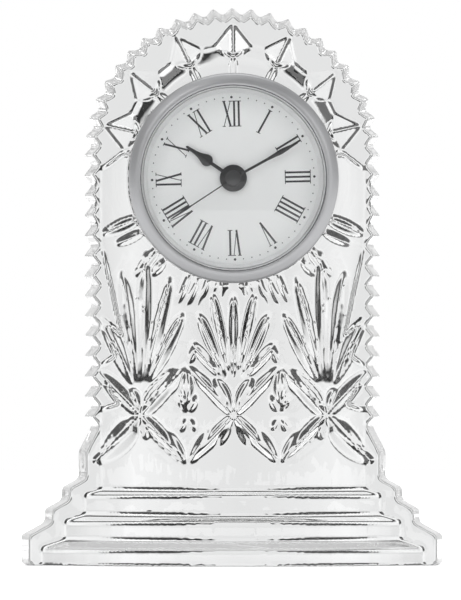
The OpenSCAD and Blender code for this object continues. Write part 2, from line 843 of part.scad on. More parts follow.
module rotor() {
    color("dimgray") union() {
        disc(rotor_r, stator_level - 0.4, stator_level + 1.2, rotor_at);
        disc(rotor_pivot_r, ledge_depth - 0.4, bridge_level + bridge_t, rotor_at);
        gear(rotor_teeth, train_module, rotor_phase, inter_level - 0.2, inter_level + 0.6, rotor_at);
    }
}

module intermediate_wheel() {
    color("ivory") union() {
        gear(inter_teeth, train_module, inter_phase, inter_level, inter_level + wheel_t, inter_at);
        gear(inter_pinion, train_module, inter_phase, second_level - 0.2, inter_level + 0.1, inter_at);
        disc(pivot_r, ledge_depth - 0.4, bridge_level + bridge_t, inter_at);
    }
}

module second_wheel() {
    color("ivory") union() {
        gear(second_teeth, train_module, second_phase, second_level, second_level + wheel_t);
        gear(second_pinion, train_module, second_phase, third_level - 0.2, second_level + 0.1);
        disc(second_arbor_r, second_hand_d - 0.2, bridge_level + bridge_t);
    }
}

module third_wheel() {
    color("ivory") union() {
        gear(third_teeth, train_module, third_phase, third_level, third_level + wheel_t, third_at);
        gear(third_pinion, centre_module, third_phase, centre_level - 0.1, third_level + 0.1, third_at);
        disc(pivot_r, ledge_depth - 0.4, bridge_level + bridge_t, third_at);
    }
}

// Minute wheel of the going train, which slips on the cannon pinion when the time is set
module centre_gear() {
    color("ivory")
        difference() {
            gear(centre_teeth, centre_module, centre_phase, centre_level, centre_level + wheel_t);
            disc(minute_tube_r + pivot_clear, centre_level - 1, centre_level + 1);
        }
}

module cannon_pinion() {
    color("khaki")
        difference() {
            union() {
                gear(cannon_teeth, minute_module, cannon_phase, minute_level - 0.2, minute_level + 0.7);
                disc(minute_tube_r, minute_hand_d - 0.2, centre_level + 0.6);
            }
            disc(second_arbor_r + pivot_clear, minute_hand_d - 1, centre_level + 2);
        }
}

module motion_wheel() {
    color("ivory") union() {
        gear(motion_teeth, minute_module, motion_phase, minute_level, minute_level + wheel_t, motion_at);
        gear(motion_pinion, hour_module, motion_phase, motion_level - 0.05, minute_level + 0.1, motion_at);
        disc(motion_arbor_r, ledge_depth - 0.4, movement_depth + 2, motion_at);
    }
}

module hour_wheel() {
    color("ivory")
        difference() {
            union() {
                gear(hour_teeth, hour_module, hour_phase, motion_level, motion_level + wheel_t);
                disc(hour_tube_r, hour_hand_d - 0.2, motion_level + wheel_t);
            }
            disc(minute_tube_r + pivot_clear, hour_hand_d - 1, motion_level + 1);
        }
}

// Front plate with the hand bush, bridge posts, cover posts and the battery pedestal
module movement_front_plate() {
    bush_r = dial_hole_r - 0.1;
    color("white")
        difference() {
            union() {
                disc(plate_r, dial_back, ledge_depth);
                disc(bush_r, dial_depth - 0.9, ledge_depth);
                for (p = bridge_posts) disc(post_r, dial_back, bridge_level, p);
                for (p = cover_posts) disc(post_r, dial_back, floor_level, p);
                disc(5, dial_back, cell_front - strip_t, cell_at);
                for (p = board_posts) disc(small_post_r, dial_back, board_level, p);
                for (s = [-1, 1])
                    disc(small_post_r, dial_back, stator_level, [coil_x, s * (core_half_l - 1.5)]);
            }
            disc(hour_tube_r + pivot_clear, dial_depth - 2, ledge_depth + 1);
            for (p = [third_at, inter_at]) disc(pivot_r + pivot_clear, ledge_depth - 0.5, ledge_depth + 1, p);
            disc(rotor_pivot_r + pivot_clear, ledge_depth - 0.5, ledge_depth + 1, rotor_at);
            disc(motion_arbor_r + pivot_clear, ledge_depth - 0.5, ledge_depth + 1, motion_at);
            for (p = bridge_posts) disc(screw_core_r, bridge_level - 2.5, bridge_level + 1, p);
            for (p = cover_posts) disc(screw_core_r, floor_level - 2.5, floor_level + 1, p);
        }
}

module train_bridge() {
    color("silver")
        difference() {
            plate_2d(bridge_level, bridge_level + bridge_t)
                hull() for (p = bridge_posts) translate(p) circle(r = post_r + 0.9, $fn = 32);
            disc(second_arbor_r + pivot_clear, bridge_level - 1, bridge_level + 2);
            for (p = [third_at, inter_at]) disc(pivot_r + pivot_clear, bridge_level - 1, bridge_level + 2, p);
            disc(rotor_pivot_r + pivot_clear, bridge_level - 1, bridge_level + 2, rotor_at);
            disc(motion_arbor_r + pivot_clear, bridge_level - 1, bridge_level + 2, motion_at);
            for (p = bridge_posts) disc(screw_hole_r, bridge_level - 1, bridge_level + 2, p);
        }
}

// Slotted pan-head screw with its head behind the given depth
module screw(at, seat_depth, shank_l) {
    difference() {
        union() {
            disc(0.58, seat_depth - shank_l, seat_depth, at);
            disc(1.2, seat_depth, seat_depth + 0.7, at);
        }
        at_depth(seat_depth + 1, at) translate([-1.5, -0.15, 0]) cube([3, 0.3, 0.6]);
    }
}

module bridge_screws() {
    color("silver") for (p = bridge_posts) screw(p, bridge_level + bridge_t, 3);
}

// Back cover with a rim, a bayonet opening for the hatch, and holes for the screws and the arbor
module movement_back_cover() {
    color("white")
        difference() {
            disc(movement_r, ledge_depth, movement_depth);
            disc(movement_r - cover_wall, ledge_depth - 1, floor_level);
            disc(hatch_r + 0.1, floor_level - 1, movement_depth + 1, cell_at);
            intersection() {
                disc(hatch_r + lug_reach + 0.2, floor_level - 1, movement_depth + 1, cell_at);
                at_depth(movement_depth + 1, cell_at) rotate([0, 0, -lug_turn])
                    translate([-10, -lug_w / 2 - 0.2, 0]) cube([20, lug_w + 0.4, 4]);
            }
            disc(motion_arbor_r + pivot_clear, floor_level - 1, movement_depth + 1, motion_at);
            for (p = cover_posts) disc(screw_hole_r, floor_level - 1, movement_depth + 1, p);
            for (p = cover_posts) disc(1.3, movement_depth - 0.5, movement_depth + 1, p);
        }
}

module cover_screws() {
    color("silver") for (p = cover_posts) screw(p, movement_depth - 0.5, 3);
}

// Round battery hatch with a coin slot and two bayonet lugs inside the cover
module battery_hatch() {
    lug_front = cell_back + 0.05;
    color("white")
        difference() {
            union() {
                disc(hatch_r, lug_front, movement_depth, cell_at);
                intersection() {
                    disc(hatch_r + lug_reach, lug_front, floor_level - 0.05, cell_at);
                    at_depth(movement_depth, cell_at) translate([-10, -lug_w / 2, 0]) cube([20, lug_w, 4]);
                }
            }
            at_depth(movement_depth + 0.1, cell_at) translate([-5, -0.6, 0]) cube([10, 1.2, 0.7]);
        }
}

// Fluted knob pressed on the motion arbor, outside the back cover
module setting_knob() {
    front = movement_depth + 0.2;
    flutes = 16;
    color("white")
        difference() {
            disc(knob_r, front, front + knob_h, motion_at);
            disc(motion_arbor_r, front - 1, movement_depth + 2, motion_at);
            for (i = [0:flutes - 1])
                disc(0.35, front - 1, front + knob_h + 1, motion_at + polar(knob_r + 0.1, i * 360 / flutes));
        }
}

// Stator plate round the rotor, with two arms that reach past the coil to the ends of the core
module stator() {
    pad_r = layout * 4;
    air_gap = 0.4;
    inside_x = coil_x - flange_coil_r - 0.6;
    outside_x = coil_x + 1.8;
    arm_y = coil_half_l + 0.4;
    end_y = core_half_l + 0.5;
    arm = [
        rotor_at + layout * [-2, 2.5], rotor_at + layout * [3.6, 1.5],
        [inside_x, arm_y], [outside_x, arm_y], [outside_x, end_y], [coil_x - pad_r, end_y]
    ];
    color("gray")
        difference() {
            union() {
                disc(pad_r, stator_level, stator_level + stator_t, rotor_at);
                plate_2d(stator_level, stator_level + stator_t) polygon(arm);
                plate_2d(stator_level, stator_level + stator_t) mirror([0, 1, 0]) polygon(arm);
            }
            disc(rotor_r + air_gap, stator_level - 1, stator_level + 2, rotor_at);
        }
}

module coil_core() {
    color("gray") at_depth(core_level + core_t)
        translate([coil_x - 0.8, -core_half_l, 0]) cube([1.6, 2 * core_half_l, core_t]);
}

// Bobbin along the core, drawn about the coil's own axis
module along_coil() {
    at_depth(core_level + core_t / 2, [coil_x, 0]) rotate([90, 0, 0]) children();
}

module coil_bobbin() {
    color("tan")
        difference() {
            along_coil() union() {
                cylinder(r = 1.2, h = 2 * coil_half_l, center = true);
                for (s = [-1, 1]) translate([0, 0, s * (coil_half_l - 0.3)])
                    cylinder(r = flange_coil_r, h = 0.6, center = true);
            }
            at_depth(core_level + core_t)
                translate([coil_x - 0.8, -core_half_l, 0]) cube([1.6, 2 * core_half_l, core_t]);
        }
}

module coil_winding() {
    color("peru")
        difference() {
            along_coil() cylinder(r = flange_coil_r - 0.2, h = 2 * coil_half_l - 1.2, center = true);
            along_coil() cylinder(r = 1.2, h = 2 * coil_half_l, center = true);
        }
}

module circuit_board() {
    color("darkgreen") at_depth(board_level + board_t)
        translate([board_min[0], board_min[1], 0])
            cube([board_max[0] - board_min[0], board_max[1] - board_min[1], board_t]);
}

module oscillator_can() {
    back = board_level + board_t;
    color("silver") at_depth(back + 1, [board_max[0] - 9, board_min[1] + 2]) rotate([0, 90, 0]) union() {
        cylinder(r = 1, h = 6);
        translate([0, 0, 5.6]) cylinder(r = 0.8, h = 0.8);
    }
}

module driver_chip() {
    back = board_level + board_t;
    chip_at = [board_min[0] + 8, (board_min[1] + board_max[1]) / 2];
    color("black") intersection() {
        disc(2.2, back, back + 1.1, chip_at);
        at_depth(back + 1.1 - 3, chip_at) sphere(r = 3, $fn = 96);
    }
}

module button_cell() {
    color("silver") union() {
        disc(cell_d / 2, cell_front + 1.2, cell_back, cell_at);
        disc(cell_d / 2 - 0.6, cell_front, cell_front + 1.2, cell_at);
    }
}

// Flat spring disc under the cell, with a strip down to the circuit board
module contact_negative() {
    front = cell_front - strip_t;
    strip_l = cell_at[1] - board_max[1] + strip_lap;
    color("gold") union() {
        disc(4, front, cell_front, cell_at);
        at_depth(cell_front, [cell_at[0] + 1.6, board_max[1] - strip_lap]) cube([strip_w, strip_l, strip_t]);
    }
}

// Upright leaf against the rim of the cell, with a foot on the circuit board
module contact_positive() {
    front = cell_front - strip_t;
    rim_y = cell_at[1] - cell_d / 2;
    color("gold") union() {
        at_depth(cell_front, [cell_at[0] - strip_w / 2, board_max[1] - strip_lap])
            cube([strip_w, rim_y - board_max[1] + strip_lap, strip_t]);
        at_depth(cell_back - 1, [cell_at[0] - strip_w / 2, rim_y - strip_t])
            cube([strip_w, strip_t, cell_back - 1 - front]);
    }
}

crystal_block();
bezel();
lens_gasket();
lens();
reflector_ring();
dial();
case_cup();
grip_ring();
hour_hand();
minute_hand();
second_hand();
movement_front_plate();
train_bridge();
bridge_screws();
movement_back_cover();
cover_screws();
rotor();
intermediate_wheel();
second_wheel();
third_wheel();
centre_gear();
cannon_pinion();
motion_wheel();
hour_wheel();
stator();
coil_core();
coil_bobbin();
coil_winding();
circuit_board();
oscillator_can();
driver_chip();
button_cell();
contact_positive();
contact_negative();
battery_hatch();
setting_knob();
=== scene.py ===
import json
from math import atan2, cos, hypot, pi, radians, sin

import bpy
from mathutils import Matrix, Vector


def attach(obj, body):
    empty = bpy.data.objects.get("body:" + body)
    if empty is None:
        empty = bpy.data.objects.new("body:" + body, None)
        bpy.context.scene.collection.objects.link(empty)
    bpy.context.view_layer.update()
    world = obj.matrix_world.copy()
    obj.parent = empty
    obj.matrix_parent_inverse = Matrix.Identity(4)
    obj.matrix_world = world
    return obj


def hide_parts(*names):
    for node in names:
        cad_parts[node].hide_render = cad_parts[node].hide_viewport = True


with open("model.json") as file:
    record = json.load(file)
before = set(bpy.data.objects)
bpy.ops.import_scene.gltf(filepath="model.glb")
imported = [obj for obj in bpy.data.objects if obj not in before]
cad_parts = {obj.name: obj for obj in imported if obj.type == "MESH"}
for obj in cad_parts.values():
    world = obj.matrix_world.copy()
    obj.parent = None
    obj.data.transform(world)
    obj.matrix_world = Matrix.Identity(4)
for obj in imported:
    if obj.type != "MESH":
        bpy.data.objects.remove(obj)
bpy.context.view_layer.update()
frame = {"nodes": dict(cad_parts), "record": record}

# The scene is in metres: +X to the viewer's right, +Y to the back, +Z up. Sizes of pieces are in millimetres
mm = 0.001
dialZ = 0.123  # height of the dial's centre
seatY = -0.0092  # ground seat of the bezel, depths are measured behind it
nodeWeldGap = 0.000002  # points of a CAD node nearer than this are one
turnedWeldGap = 0.000005


def deselectAll():
    if bpy.context.object and bpy.context.object.mode != "OBJECT":
        bpy.ops.object.mode_set(mode="OBJECT")
    bpy.ops.object.select_all(action="DESELECT")


def pick(piece):
    deselectAll()
    piece.select_set(True)
    bpy.context.view_layer.objects.active = piece


def applyPlace(piece):
    pick(piece)
    bpy.ops.object.transform_apply(location=True, rotation=True, scale=True)


def addModifier(piece, kind, **values):
    step = piece.modifiers.new(kind.title(), kind)
    for key, value in values.items():
        setattr(step, key, value)
    pick(piece)
    bpy.ops.object.modifier_apply(modifier=step.name)


def smoothByAngle(piece, angle):
    pick(piece)
    bpy.ops.object.shade_smooth_by_angle(angle=radians(angle))


def joinAll(pieces, name):
    deselectAll()
    for piece in pieces:
        piece.select_set(True)
    bpy.context.view_layer.objects.active = pieces[0]
    bpy.ops.object.join()
    whole = bpy.context.object
    whole.name = name
    whole.data.name = name
    return whole


def copyOfNode(node, name):
    # Copy of a CAD node's mesh, with its loose triangles merged
    source = frame["nodes"][node]
    piece = bpy.data.objects.new(name, source.data.copy())
    bpy.context.scene.collection.objects.link(piece)
    piece.data.materials.clear()
    pick(piece)
    bpy.ops.object.mode_set(mode="EDIT")
    bpy.ops.mesh.select_all(action="SELECT")
    bpy.ops.mesh.remove_doubles(threshold=nodeWeldGap)
    bpy.ops.object.mode_set(mode="OBJECT")
    return piece


def finishPiece(piece, body, node, material):
    if node:
        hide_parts(node)
    piece.data.materials.clear()
    piece.data.materials.append(material)
    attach(piece, body)
    return piece


# Materials

mixSocket = {"factor": 0, "first": 6, "second": 7, "result": 2}  # by number, as a Mix node's names repeat


def grey(tone):
    return (tone, tone, tone, 1)


def newMaterial(name):
    material = bpy.data.materials.new(name)
    material.use_nodes = True
    return material, material.node_tree, material.node_tree.nodes["Principled BSDF"]


def feed(tree, socket, value):
    # Links another node's output to the socket, or sets a plain value on it
    if isinstance(value, bpy.types.NodeSocket):
        tree.links.new(value, socket)
    else:
        socket.default_value = value


def mixColours(tree, factor, first, second):
    mix = tree.nodes.new("ShaderNodeMix")
    mix.data_type = "RGBA"
    for name, value in (("factor", factor), ("first", first), ("second", second)):
        feed(tree, mix.inputs[mixSocket[name]], value)
    return mix.outputs[mixSocket["result"]]


def mathNode(tree, operation, *values):
    node = tree.nodes.new("ShaderNodeMath")
    node.operation = operation
    for socket, value in zip(node.inputs, values):
        feed(tree, socket, value)
    return node.outputs[0]


def rangeNode(tree, value, start, end, low=0, high=1, kind="LINEAR"):
    node = tree.nodes.new("ShaderNodeMapRange")
    node.interpolation_type = kind
    for name, size in (("From Min", start), ("From Max", end), ("To Min", low), ("To Max", high)):
        node.inputs[name].default_value = size
    tree.links.new(value, node.inputs["Value"])
    return node.outputs["Result"]


def noiseOnPiece(tree, scale, detail):
    coords = tree.nodes.new("ShaderNodeTexCoord")
    noise = tree.nodes.new("ShaderNodeTexNoise")
    noise.inputs["Scale"].default_value = scale
    noise.inputs["Detail"].default_value = detail
    tree.links.new(coords.outputs["Object"], noise.inputs["Vector"])
    return noise.outputs["Fac"]


def addBump(tree, shader, height, strength, depth):
    bump = tree.nodes.new("ShaderNodeBump")
    bump.inputs["Strength"].default_value = strength
    bump.inputs["Distance"].default_value = depth
    tree.links.new(height, bump.inputs["Height"])
    tree.links.new(bump.outputs["Normal"], shader.inputs["Normal"])


glassLooks = {
    "crystal": {
        "colour": [0.985, 0.99, 0.99], "ior": 1.545, "rough": 0.0,
        "wave": 0.12, "waveScale": 120, "waveDetail": 1, "waveDepth": 0.0002,
    },
    "lens": {
        "colour": [0.98, 0.99, 1.0], "ior": 1.45, "rough": 0.02,
        "wave": 0.05, "waveScale": 60, "waveDetail": 2, "waveDepth": 0.0001,
    },
}


def glassMaterial(name, look):
    # Solid glass that bends the light, with the faint waves of polishing
    material, tree, shader = newMaterial(name)
    wave = noiseOnPiece(tree, look["waveScale"], look["waveDetail"])
    addBump(tree, shader, wave, look["wave"], look["waveDepth"])
    shader.inputs["Base Color"].default_value = look["colour"] + [1]
    shader.inputs["Roughness"].default_value = look["rough"]
    shader.inputs["IOR"].default_value = look["ior"]
    shader.inputs["Transmission Weight"].default_value = 1
    return material


def windowMaterial(name, look):
    # Thin clear window: it mirrors by the angle and lets the light of the lamps through
    material, tree, shader = newMaterial(name)
    wave = noiseOnPiece(tree, look["waveScale"], look["waveDetail"])
    addBump(tree, shader, wave, look["wave"], look["waveDepth"])
    shader.inputs["Base Color"].default_value = look["colour"] + [1]
    shader.inputs["Roughness"].default_value = look["rough"]
    shader.inputs["Metallic"].default_value = 1
    fresnel = tree.nodes.new("ShaderNodeFresnel")
    fresnel.inputs["IOR"].default_value = look["ior"]
    clear = tree.nodes.new("ShaderNodeBsdfTransparent")
    mix = tree.nodes.new("ShaderNodeMixShader")
    for socket, source in zip(mix.inputs, (fresnel, clear, shader)):
        tree.links.new(source.outputs[0], socket)
    tree.links.new(mix.outputs[0], tree.nodes["Material Output"].inputs["Surface"])
    return material


# What a grained finish has where its own entry doesn't say
plainGrain = {
    "metal": 0, "coat": 0, "coatRough": 0.1, "vary": 0.06, "roughVary": 0.06,
    "cloudScale": 90, "cloudDetail": 4, "grainScale": 2600, "grainDetail": 3,
    "bump": 0.08, "bumpDepth": 0.00002,
}
grainLooks = {
    "bezel_metal": {
        "colour": [0.355, 0.357, 0.365], "metal": 1, "rough": 0.48, "grainScale": 3200, "bump": 0.05,
    },
    "gasket_rubber": {"colour": [0.03, 0.03, 0.032], "rough": 0.7},
    "reflector_white": {"colour": [0.985, 0.988, 0.988], "rough": 0.35, "vary": 0.005},
    "dial_white": {"colour": [0.95, 0.962, 0.958], "rough": 0.55, "vary": 0.012, "bump": 0.03},
    "case_plastic": {"colour": [0.82, 0.82, 0.8], "rough": 0.5, "vary": 0.03},
    "grip_rubber": {"colour": [0.75, 0.75, 0.74], "rough": 0.6, "vary": 0.04},
    "hand_black": {"colour": [0.012, 0.012, 0.014], "rough": 0.38, "coat": 0.25, "vary": 0.1},
    "handCap": {"colour": [0.035, 0.035, 0.037], "rough": 0.3, "coat": 0.5, "vary": 0.1},
    "movement_plastic": {"colour": [0.72, 0.72, 0.7], "rough": 0.55, "vary": 0.04},
    "bridge_steel": {"colour": [0.62, 0.62, 0.62], "metal": 1, "rough": 0.36},
    "screw_nickel": {"colour": [0.68, 0.66, 0.62], "metal": 1, "rough": 0.25},
    "gear_plastic": {"colour": [0.84, 0.79, 0.66], "rough": 0.42, "vary": 0.04},
    "rotor_magnet": {"colour": [0.07, 0.07, 0.08], "rough": 0.5},
    "pinion_brass": {"colour": [0.78, 0.58, 0.27], "metal": 1, "rough": 0.28},
    "stator_steel": {"colour": [0.42, 0.42, 0.44], "metal": 1, "rough": 0.45},
    "bobbin_plastic": {"colour": [0.42, 0.28, 0.16], "rough": 0.5},
    "winding_wire": {"colour": [0.66, 0.3, 0.14], "metal": 1, "rough": 0.32},
    "board_green": {"colour": [0.03, 0.16, 0.07], "rough": 0.35, "coat": 0.4},
    "can_metal": {"colour": [0.7, 0.7, 0.7], "metal": 1, "rough": 0.2},
    "chip_epoxy": {"colour": [0.015, 0.015, 0.016], "rough": 0.22},
    "cell_steel": {"colour": [0.66, 0.66, 0.65], "metal": 1, "rough": 0.3},
    "contact_spring": {"colour": [0.78, 0.62, 0.32], "metal": 1, "rough": 0.3},
    "hatch_plastic": {"colour": [0.68, 0.68, 0.66], "rough": 0.5, "vary": 0.04},
    "knob_plastic": {"colour": [0.8, 0.8, 0.78], "rough": 0.45, "vary": 0.03},
    "dialInk": {"colour": [0.035, 0.035, 0.038], "rough": 0.5},
}


def grainMaterial(name, ownLook):
    # Solid colour with fine variation, roughness grain and a small bump
    look = {**plainGrain, **ownLook}
    material, tree, shader = newMaterial(name)
    cloud = noiseOnPiece(tree, look["cloudScale"], look["cloudDetail"])
    grain = noiseOnPiece(tree, look["grainScale"], look["grainDetail"])
    darker = [part * (1 - look["vary"]) for part in look["colour"]] + [1]
    lighter = [min(1, part * (1 + look["vary"])) for part in look["colour"]] + [1]
    tree.links.new(mixColours(tree, cloud, darker, lighter), shader.inputs["Base Color"])
    smoothest, roughest = look["rough"] - look["roughVary"], look["rough"] + look["roughVary"]
    tree.links.new(rangeNode(tree, grain, 0, 1, smoothest, roughest), shader.inputs["Roughness"])
    addBump(tree, shader, grain, look["bump"], look["bumpDepth"])
    shader.inputs["Metallic"].default_value = look["metal"]
    shader.inputs["Coat Weight"].default_value = look["coat"]
    shader.inputs["Coat Roughness"].default_value = look["coatRough"]
    return material


finish = {name: grainMaterial(name, look) for name, look in grainLooks.items()}
finish["crystal"] = glassMaterial("cutCrystal", glassLooks["crystal"])
finish["lens_glass"] = windowMaterial("lensGlass", glassLooks["lens"])

for entry in frame["record"]["subparts"]:
    node = frame["nodes"][entry["node"]]
    node.data.materials.clear()
    node.data.materials.append(finish[entry["material_slot"]])
print("materials are on the CAD nodes")


# Crystal block: the node's sharp cuts get rounded scoops over them, and its edges the softness of polishing

crystalSizes = {
    "firstVoxel": 0.4, "voxel": 0.5, "triangles": 196000,
    "smoothing": 0.5, "rounds": 6,
}
bowSizes = {"axisY": 83.4, "radius": 92.6}  # the bowed front turns about this upright axis
scoopSizes = {"segments": 28, "rings": 18, "startWidth": 0.55, "widening": 0.5, "voxel": 0.3}

# Scoops in the bowed front: (x0, z0, x1, z1, half width, slope at the edge), and the same ones in mirror
scoopCuts = [
    (0, 59.4, 0, 87.2, 1.9, 48), (0.9, 59.8, 7.4, 88.4, 1.9, 48), (1.7, 59.4, 11.9, 81.2, 2.0, 48),
    (2.2, 59.2, 14.0, 71.2, 2.0, 48),
    (29.4, 57.2, 27.6, 100.6, 2.5, 48), (28.4, 57.2, 19.4, 93.0, 2.3, 48), (27.6, 56.8, 15.2, 81.4, 2.2, 48),
    (30.4, 57.2, 35.6, 94.4, 2.4, 48), (31.4, 56.6, 41.6, 79.4, 2.3, 48),
    (0.5, 48.6, 6.2, 60.0, 2.3, 64), (0.5, 47.0, 5.2, 37.6, 1.8, 40),
    (14.75, 50.6, 14.75, 62.4, 2.1, 66), (14.2, 64.0, 12.0, 70.8, 1.2, 62), (12.6, 68.2, 8.6, 64.8, 0.8, 58),
    (14.9, 49.0, 17.8, 54.4, 1.2, 50), (14.6, 49.0, 11.7, 54.4, 1.2, 50),
    (15.4, 33.2, 21.0, 42.4, 1.7, 50), (14.1, 33.2, 7.2, 43.8, 1.7, 50),
    (10.6, 91.6, 15.6, 82.2, 1.0, 56), (8.4, 90.8, 12.2, 81.6, 0.8, 56), (5.4, 90.6, 7.0, 86.2, 0.9, 56),
    (2.2, 90.4, 2.4, 87.4, 0.9, 56), (26.8, 106.6, 38.2, 101.6, 1.3, 50), (20.8, 97.6, 26.0, 92.0, 1.2, 50),
]


def bowY(x):
    return bowSizes["axisY"] - (bowSizes["radius"] ** 2 - x * x) ** 0.5


def makeScoop(start, end, halfWidth, slope, sizes):
    # Long ellipsoid whose cut in the bowed face has the half width and the slope at its edge
    first = Vector((start[0], bowY(start[0]), start[1]))
    last = Vector((end[0], bowY(end[0]), end[1]))
    run = last - first
    middle = (first + last) / 2
    middle.y = bowY(middle.x)
    across = halfWidth / sin(radians(slope))
    bpy.ops.mesh.primitive_uv_sphere_add(segments=sizes["segments"], ring_count=sizes["rings"], radius=1)
    scoop = bpy.context.object
    for point in scoop.data.vertices:  # narrower towards its start
        point.co.x *= min(1, sizes["startWidth"] + sizes["widening"] * (1 + point.co.z))
    scoop.data.transform(Matrix.Diagonal((across, across, run.length / 2 / sin(radians(slope)), 1)))
    along = run.normalized()
    outward = Vector((middle.x, middle.y - bowSizes["axisY"], 0)).normalized()
    side = along.cross(outward).normalized()
    outward = side.cross(along).normalized()
    turn = Matrix((side, outward, along)).transposed().to_4x4()
    scoop.data.transform(Matrix.Translation(middle + outward * across * cos(radians(slope))) @ turn)
    scoop.data.transform(Matrix.Scale(mm, 4))
    return scoop


def cutScoops(piece, sizes):
    scoops = []
    for x0, z0, x1, z1, halfWidth, slope in scoopCuts:
        for sign in (1, -1) if x0 or x1 else (1,):
            scoops.append(makeScoop((sign * x0, z0), (sign * x1, z1), halfWidth, slope, sizes))
    cutter = joinAll(scoops, "scoops")
    addModifier(cutter, "REMESH", mode="VOXEL", voxel_size=sizes["voxel"] * mm)
    addModifier(piece, "BOOLEAN", operation="DIFFERENCE", object=cutter, solver="MANIFOLD")
    bpy.data.objects.remove(cutter)
    print("scoops are cut,", len(piece.data.polygons), "faces")


def makeCrystal(sizes):
    # The first remesh gives the boolean a closed mesh, the second one even faces to smooth
    piece = copyOfNode("crystal_block", "crystalBlock")
    addModifier(piece, "REMESH", mode="VOXEL", voxel_size=sizes["firstVoxel"] * mm)
    cutScoops(piece, scoopSizes)
    addModifier(piece, "REMESH", mode="VOXEL", voxel_size=sizes["voxel"] * mm, use_smooth_shade=True)
    addModifier(piece, "SMOOTH", factor=sizes["smoothing"], iterations=sizes["rounds"])
    addModifier(piece, "DECIMATE", ratio=sizes["triangles"] / (2 * len(piece.data.polygons)))
    pick(piece)
    bpy.ops.object.shade_smooth()
    return finishPiece(piece, "crystal", "crystal_block", finish["crystal"])


crystal = makeCrystal(crystalSizes)
print("crystal block has", len(crystal.data.polygons), "faces")


# Round pieces of the insert, turned about the dial's axis

turnSizes = {"startPlane": 0.0001, "smoothAngle": 30}


def turnedPiece(name, profile, steps):
    # Profile points are (radius, depth behind the seat), walked round the section
    points = [(r * mm, seatY + depth * mm) for r, depth in profile]
    deselectAll()
    startAt = (points[0][0], points[0][1], dialZ)
    bpy.ops.mesh.primitive_plane_add(size=turnSizes["startPlane"], location=startAt)
    piece = bpy.context.object
    piece.name = name
    bpy.ops.object.mode_set(mode="EDIT")
    bpy.ops.mesh.select_mode(type="VERT")
    bpy.ops.mesh.select_all(action="SELECT")
    bpy.ops.mesh.merge(type="CENTER")
    for (r0, y0), (r1, y1) in zip(points, points[1:]):
        bpy.ops.mesh.extrude_vertices_move(TRANSFORM_OT_translate={"value": (r1 - r0, y1 - y0, 0)})
    bpy.ops.mesh.select_all(action="SELECT")
    bpy.ops.mesh.spin(steps=steps, angle=2 * pi, center=(0, 0, dialZ), axis=(0, 1, 0))
    bpy.ops.mesh.select_all(action="SELECT")
    bpy.ops.mesh.remove_doubles(threshold=turnedWeldGap)
    bpy.ops.mesh.normals_make_consistent(inside=False)
    bpy.ops.object.mode_set(mode="OBJECT")
    applyPlace(piece)
    smoothByAngle(piece, turnSizes["smoothAngle"])
    return piece


def arcPoints(centre, radius, start, end, steps):
    angles = [radians(start + (end - start) * i / steps) for i in range(steps + 1)]
    return [(centre[0] + radius * cos(angle), centre[1] + radius * sin(angle)) for angle in angles]


bezelSizes = {
    "outerR": 33.3, "openingR": 29.4, "height": 4.6, "flangeR": 30.85, "gasketDepth": -3.5, "steps": 192,
    "chamfer": 0.15, "wallDepth": -0.9,
    "shoulderR": 2.1, "shoulderDepth": -1.6, "shoulderArc": [-10, -62, 8],  # from, to, steps
    "slopeOuter": [1.9, 0.42], "slopeInner": [1.1, 0.04],  # in from the rim or opening, down from the top
    "lipR": 0.55, "lipArc": [-90, -180, 6],
}


def makeBezel(sizes):
    outer, inner, top, flange = sizes["outerR"], sizes["openingR"], -sizes["height"], sizes["flangeR"]
    chamfer, lip, shoulder = sizes["chamfer"], sizes["lipR"], sizes["shoulderR"]
    outerIn, outerDown = sizes["slopeOuter"]
    innerIn, innerDown = sizes["slopeInner"]
    profile = (
        [(flange, 0), (outer - chamfer, 0), (outer, -chamfer), (outer, sizes["wallDepth"])]
        + arcPoints((outer - shoulder, sizes["shoulderDepth"]), shoulder, *sizes["shoulderArc"])
        + [(outer - outerIn, top + outerDown), (inner + innerIn, top + innerDown)]
        + arcPoints((inner + lip, top + lip), lip, *sizes["lipArc"])
        + [(inner, sizes["gasketDepth"]), (flange, sizes["gasketDepth"]), (flange, 0)]
    )
    piece = turnedPiece("bezelRing", profile, sizes["steps"])
    return finishPiece(piece, "insert", "bezel", finish["bezel_metal"])


makeBezel(bezelSizes)
print("bezel is turned")

lensSizes = {
    "edgeR": 30.3, "backDepth": -1.7, "edge": 1.5, "domeR": 29.1, "domeHeight": 1.0, "domeSteps": 10,
    "steps": 128,
}


def makeLens(sizes):
    back = sizes["backDepth"]
    front = back - sizes["edge"]
    profile = [(0, back), (sizes["edgeR"], back), (sizes["edgeR"], front)]
    for i in range(sizes["domeSteps"] + 1):
        out = 1 - i / sizes["domeSteps"]  # 1 at the dome's rim, 0 at its middle
        profile.append((sizes["domeR"] * out, front - sizes["domeHeight"] * (1 - out ** 2)))
    piece = turnedPiece("lensGlass", profile, sizes["steps"])
    return finishPiece(piece, "insert", "lens", finish["lens_glass"])


makeLens(lensSizes)

reflectorSizes = {
    "innerR": 27.1, "outerR": 28.5, "edgeR": 30.3, "openingR": 29.3, "steps": 160,
    "backDepth": 5.4, "shelfDepth": -0.9, "frontDepth": -1.7, "chamfer": 0.1,
    "slope": [(-0.5, 0.1), (-0.75, 1.6)],  # out from the outer radius, and depth
    "footDepths": [5.0, 5.1],
}


